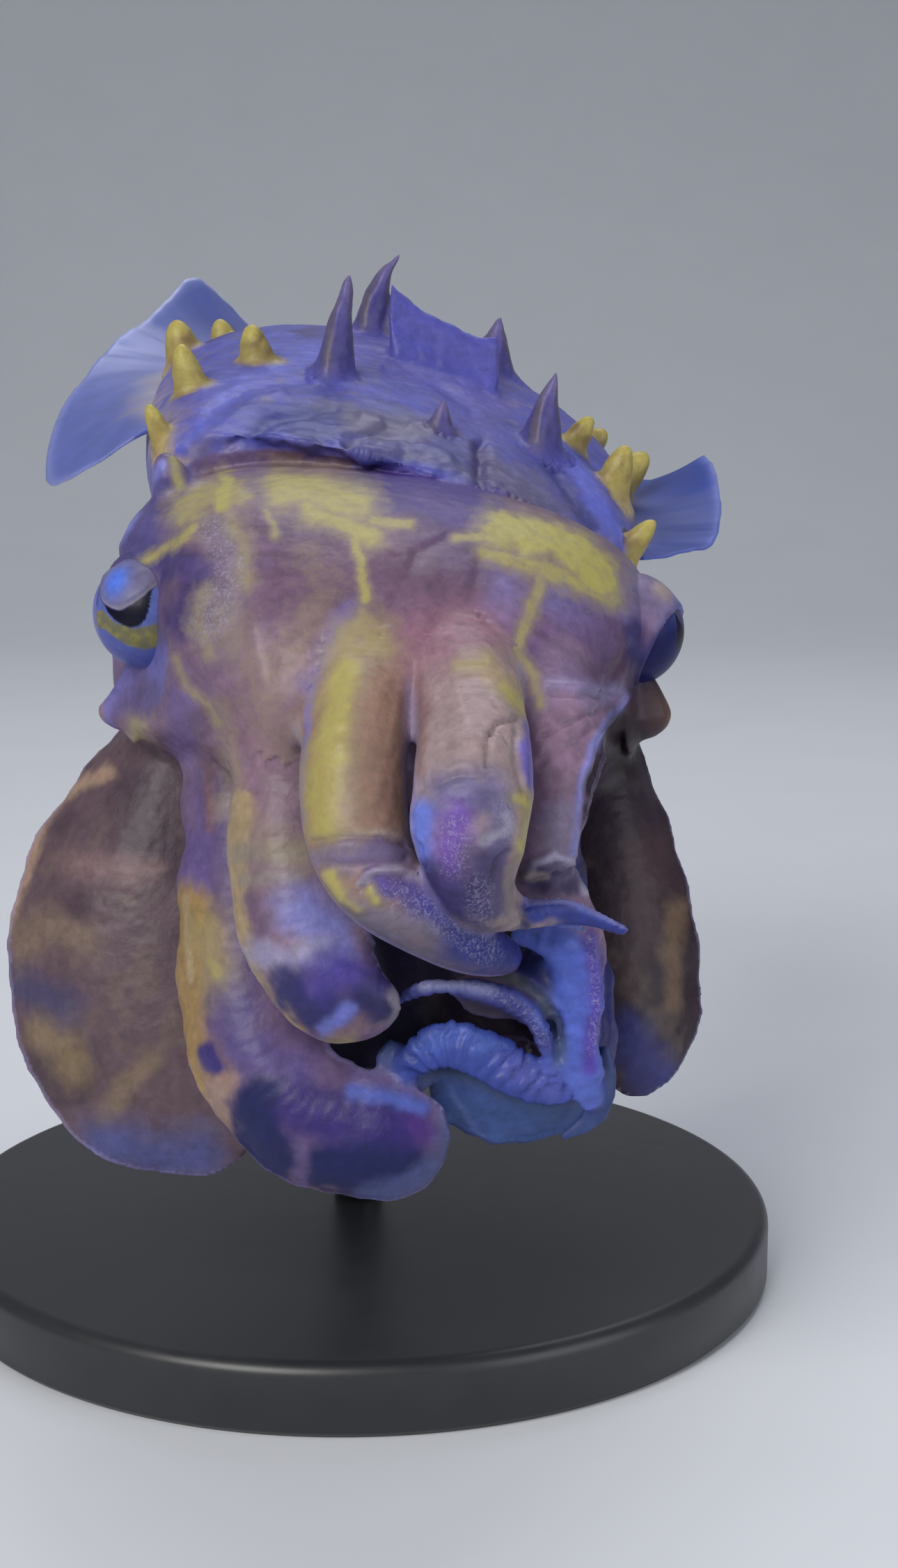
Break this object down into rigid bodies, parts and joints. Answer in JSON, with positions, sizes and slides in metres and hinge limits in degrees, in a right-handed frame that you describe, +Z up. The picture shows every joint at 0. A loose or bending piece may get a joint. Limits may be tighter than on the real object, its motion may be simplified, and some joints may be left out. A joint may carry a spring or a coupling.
{
  "type": "flamboyant cuttlefish model on a display stand",
  "caption": "Life-size still model of a hovering flamboyant cuttlefish seen head-on with hanging arms, on a round stand with one rod.",
  "frame": {"origin": "centre of the underside of the stand's round base", "axes": "+Z up, the animal faces -Y and its own right side is at -X"},
  "size_m": [0.074, 0.109, 0.0904],
  "materials": {
    "skin_head": "moist mottled skin, mauve brown with yellow bands",
    "skin_mantle": "moist violet blue skin with paler papillae",
    "skin_fin": "thin translucent blue fin skin",
    "skin_arm": "moist mottled arm skin, mauve, brown and yellow",
    "eye": "glossy eye, pale blue with a dark crescent pupil",
    "stand": "satin black"
  },
  "bodies": {
    "root": {"head": "skin_head", "mantle": "skin_mantle", "funnel": "skin_mantle", "fin_left": "skin_fin", "fin_right": "skin_fin", "eye_left": "eye", "eye_right": "eye", "arm_1_left_base": "skin_arm", "arm_1_left_tip": "skin_arm", "arm_1_right_base": "skin_arm", "arm_1_right_tip": "skin_arm", "arm_2_left_base": "skin_arm", "arm_2_left_tip": "skin_arm", "arm_2_right_base": "skin_arm", "arm_2_right_tip": "skin_arm", "arm_3_left_base": "skin_arm", "arm_3_left_tip": "skin_arm", "arm_3_right_base": "skin_arm", "arm_3_right_tip": "skin_arm", "arm_4_left_base": "skin_arm", "arm_4_left_tip": "skin_arm", "arm_4_right_base": "skin_arm", "arm_4_right_tip": "skin_arm", "arm_web": "skin_arm", "stand_base": "stand", "stand_rod": "stand"}
  },
  "joints": []
}
